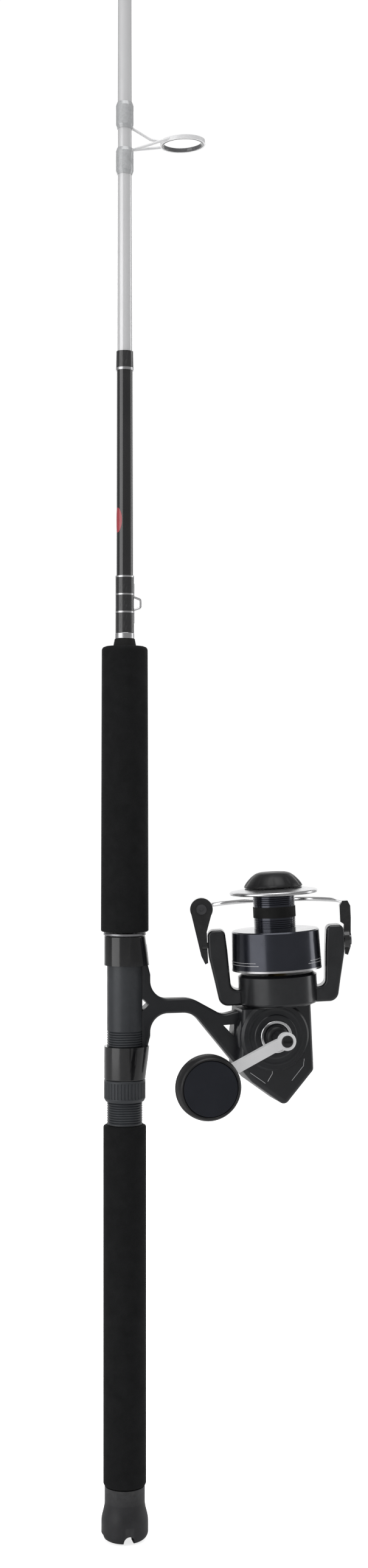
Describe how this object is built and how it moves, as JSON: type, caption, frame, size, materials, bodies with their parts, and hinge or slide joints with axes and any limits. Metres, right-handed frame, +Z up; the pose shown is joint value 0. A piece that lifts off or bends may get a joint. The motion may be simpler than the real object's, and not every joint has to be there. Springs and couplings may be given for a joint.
{
  "type": "spinning rod and reel",
  "caption": "Fishing rod with foam grips and line guides, and a spinning reel whose crank turns the rotor and its bail round a spool that moves in and out.",
  "frame": {"origin": "centre of the crossed slots at the bottom of the butt, on the rod's axis", "axes": "+Z up the rod to its tip, +X towards the reel, -Y towards the crank"},
  "size_m": [0.2116, 0.1778, 2.1334],
  "materials": {
    "dark_blank": "clear-coated dark and silver-grey paint",
    "eva_foam": "matte closed-cell foam",
    "butt_rubber": "satin charcoal rubber",
    "black_gloss": "gloss black",
    "black_satin": "satin black",
    "grey_ring": "light grey anodised",
    "soft_rubber": "matte rubber",
    "bright_metal": "polished",
    "brushed_metal": "fine brushed",
    "wrap_thread": "epoxy-coated thread",
    "grey_wrap": "grey thread under clear epoxy",
    "guide_insert": "polished dark ceramic",
    "arbor_fibre": "bonded fibre",
    "housing_paint": "satin black painted aluminium",
    "rotor_paint": "satin dark metallic",
    "spool_black": "gloss black anodised",
    "bearing_steel": "ground steel",
    "gear_brass": "machined",
    "gear_alloy": "machined alloy",
    "white_nylon": "smooth nylon",
    "drag_felt": "carbon fibre cloth"
  },
  "bodies": {
    "rod": {"blank": "dark_blank", "butt_gimbal": "butt_rubber", "rear_grip": "eva_foam", "seat_tube": "black_satin", "seat_arbors": "arbor_fibre", "fixed_hood": "black_gloss", "seat_ring": "grey_ring", "fore_grip": "eva_foam", "rubber_check": "soft_rubber", "winding_check": "bright_metal", "handle_wraps": "wrap_thread", "trim_bands": "bright_metal", "hook_keeper": "bright_metal", "guide_wraps": "grey_wrap", "guide_frame_1": "bright_metal", "guide_frame_2": "bright_metal", "guide_frame_3": "bright_metal", "guide_frame_4": "bright_metal", "guide_frame_5": "bright_metal", "guide_rings": "guide_insert", "tip_top": "bright_metal", "tip_ring": "guide_insert", "reel_body": "housing_paint", "side_cover": "housing_paint", "cover_screws": "bearing_steel", "gear_bearings": "bearing_steel", "pinion_bearing": "bearing_steel", "one_way_clutch": "bearing_steel", "hub_bezel": "bright_metal", "slider_rail": "bearing_steel"},
    "hood": {"sliding_hood": "black_gloss"},
    "nut": {"lock_nut": "black_gloss"},
    "drive": {"drive_gear": "gear_alloy", "hub_cap": "black_satin", "crank_shank": "black_satin", "crank_arm": "bright_metal", "crank_screw": "black_satin", "knob_spindle": "bearing_steel"},
    "handle_knob": {"knob": "soft_rubber", "knob_bushes": "white_nylon", "knob_cap": "black_satin"},
    "crosswind": {"crosswind_gear": "white_nylon"},
    "rotor": {"pinion": "gear_brass", "rotor": "rotor_paint", "rotor_nut": "gear_brass", "bail_screws": "bearing_steel"},
    "bail": {"bail_arm": "black_gloss", "wire_arm": "black_gloss", "bail_wire": "brushed_metal", "roller_pin": "brushed_metal"},
    "roller": {"line_roller": "bright_metal"},
    "shaft": {"main_shaft": "bearing_steel", "slider": "gear_alloy"},
    "spool": {"spool": "spool_black", "spool_lip": "brushed_metal", "skirt_ring": "brushed_metal", "arbor_band": "soft_rubber", "drag_washers": "drag_felt"},
    "drag": {"drag_knob": "black_gloss"}
  },
  "joints": [
    {"name": "hood_slide", "type": "slide", "parent": "rod", "child": "hood", "axis": [0, 0, 1], "range_m": [-0.016, 0]},
    {"name": "lock_nut_turn", "type": "hinge", "parent": "hood", "child": "nut", "pos_m": [0, 0, 0.368], "axis": [0, 0, 1], "range_deg": [-2880, 0]},
    {"name": "handle_turn", "type": "hinge", "parent": "rod", "child": "drive", "pos_m": [0.123, 0, 0.4104], "axis": [0, 1, 0], "continuous": true},
    {"name": "knob_spin", "type": "hinge", "parent": "drive", "child": "handle_knob", "pos_m": [0.04608, -0.09, 0.38256], "axis": [0, 1, 0], "continuous": true},
    {"name": "crosswind_spin", "type": "hinge", "parent": "rod", "child": "crosswind", "pos_m": [0.13, 0.007, 0.39167], "axis": [0, 1, 0], "continuous": true},
    {"name": "rotor_spin", "type": "hinge", "parent": "rod", "child": "rotor", "pos_m": [0.1331, 0, 0.4104], "axis": [-0.0478, 0, 0.9989], "continuous": true},
    {"name": "bail_open", "type": "hinge", "parent": "rotor", "child": "bail", "pos_m": [0.12947, 0, 0.48631], "axis": [0.9692, -0.2419, 0.0464], "range_deg": [0, 115]},
    {"name": "roller_spin", "type": "hinge", "parent": "bail", "child": "roller", "pos_m": [0.07017, 0.02, 0.51451], "axis": [0.2416, 0.9703, 0.0116], "continuous": true},
    {"name": "spool_stroke", "type": "slide", "parent": "rod", "child": "shaft", "axis": [-0.0478, 0, 0.9989], "range_m": [-0.012, 0.012]},
    {"name": "spool_drag", "type": "hinge", "parent": "shaft", "child": "spool", "pos_m": [0.12832, 0, 0.51029], "axis": [-0.0478, 0, 0.9989], "continuous": true},
    {"name": "drag_knob_turn", "type": "hinge", "parent": "shaft", "child": "drag", "pos_m": [0.12698, 0, 0.53825], "axis": [-0.0478, 0, 0.9989], "range_deg": [-900, 180]}
  ],
  "couplings": [
    {"joint": "lock_nut_turn", "follows": "hood_slide", "rad_per_m": 3141.6},
    {"joint": "rotor_spin", "follows": "handle_turn", "ratio": 4.7273},
    {"joint": "crosswind_spin", "follows": "handle_turn", "ratio": -0.42857}
  ]
}
